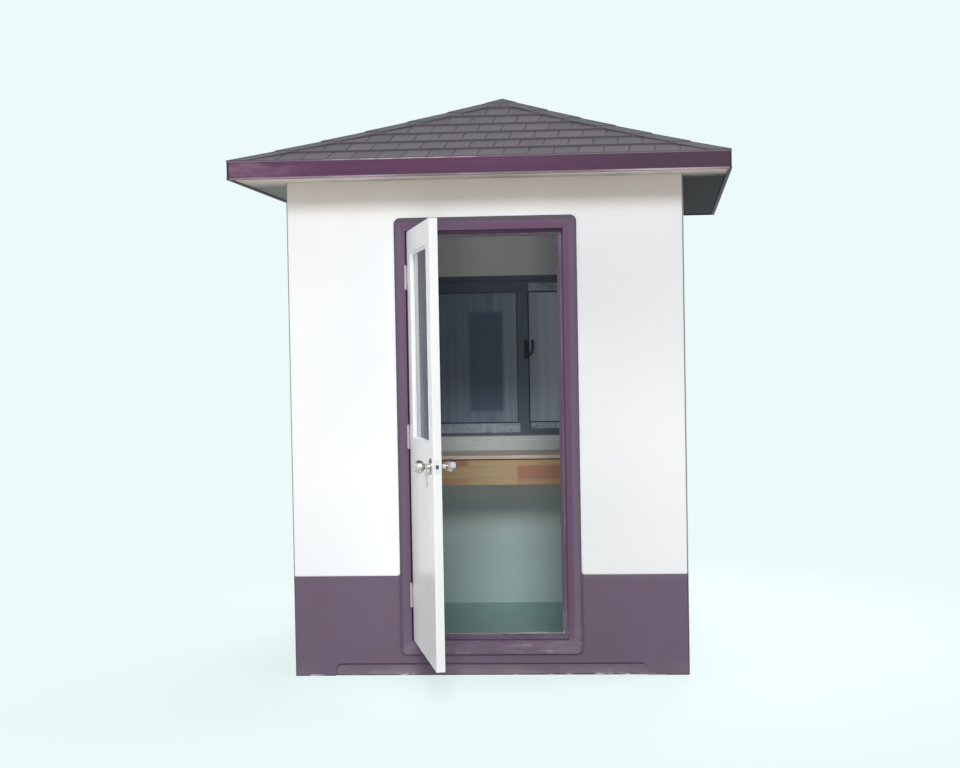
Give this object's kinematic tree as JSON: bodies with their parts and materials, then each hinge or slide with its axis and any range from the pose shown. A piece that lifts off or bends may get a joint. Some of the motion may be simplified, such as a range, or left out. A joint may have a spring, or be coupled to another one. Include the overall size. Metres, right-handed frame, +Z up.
{
  "type": "security guard booth",
  "caption": "Square moulded guard booth with a hipped shingle-pattern roof, an outward-opening glazed door, sliding windows and a fixed wooden desk.",
  "frame": {"origin": "middle of the square plan, on the ground face of the floor", "axes": "+Z up, door wall towards -Y, +X to the right of someone facing the door"},
  "size_m": [2.16, 2.6287, 2.6881],
  "materials": {
    "wall_gelcoat": "glossy moulded gelcoat, white field over a purple-grey foot band",
    "lining": "matt grey-green lining",
    "floor_green": "matt green floor paint",
    "roof_moulding": "weathered grey-purple moulding",
    "trim_purple": "worn purple gelcoat",
    "soffit_dark": "dark glossy gelcoat",
    "window_aluminium": "charcoal powder coat",
    "window_glass": "tinted float glass",
    "latch_black": "black moulded latch",
    "desk_wood": "finger-jointed staves under satin varnish",
    "bearer_wood": "sawn softwood",
    "leaf_white": "white satin door skin",
    "door_glass": "clear glass",
    "hinge_metal": "plated steel",
    "knob_steel": "polished steel",
    "lock_plate": "brushed steel",
    "key_metal": "dull nickel-brass"
  },
  "bodies": {
    "booth": {"ceiling_panel": "lining", "crown_cap": "roof_moulding", "desk_apron": "desk_wood", "desk_bearers": "bearer_wood", "desk_top": "desk_wood", "door_surround": "trim_purple", "fascia": "trim_purple", "floor_panel": "floor_green", "hinge_frame_plates": "hinge_metal", "hip_caps": "roof_moulding", "roof_shell": "roof_moulding", "sash_inner_back": "window_aluminium", "sash_inner_left": "window_aluminium", "sash_inner_right": "window_aluminium", "sash_outer_back": "window_aluminium", "sash_outer_left": "window_aluminium", "sash_outer_right": "window_aluminium", "soffit_panel": "soffit_dark", "strike_plate": "lock_plate", "wall_back": "wall_gelcoat", "wall_front_head": "wall_gelcoat", "wall_front_left": "wall_gelcoat", "wall_front_right": "wall_gelcoat", "wall_front_sill": "wall_gelcoat", "wall_left": "wall_gelcoat", "wall_right": "wall_gelcoat", "window_frame_back": "window_aluminium", "window_frame_left": "window_aluminium", "window_frame_right": "window_aluminium", "window_glass_back": "window_glass", "window_glass_left": "window_glass", "window_glass_right": "window_glass", "window_latch_back": "latch_black", "window_latch_left": "latch_black", "window_latch_right": "latch_black"},
    "door": {"door_leaf": "leaf_white", "door_glass": "door_glass", "door_glazing_bead": "leaf_white", "hinge_leaf_plates": "hinge_metal", "knob_roses": "knob_steel", "latch_face_plate": "lock_plate", "latch_bolt": "lock_plate", "hanging_key": "key_metal"},
    "knobs": {"knob_outer": "knob_steel", "knob_inner": "knob_steel", "key_cylinder": "knob_steel", "turn_button": "knob_steel"}
  },
  "joints": [
    {"name": "door_hinge", "type": "hinge", "parent": "booth", "child": "door", "pos_m": [-0.3455, -0.895, 1.062], "axis": [0, 0, -1], "range_deg": [-72.8, 97.2]},
    {"name": "knob_turn", "type": "hinge", "parent": "door", "child": "knobs", "pos_m": [-0.1534, -1.49189, 0.977], "axis": [-0.9553, -0.2957, 0], "range_deg": [-50, 50], "stiffness_Nm_per_rad": 0.6}
  ]
}
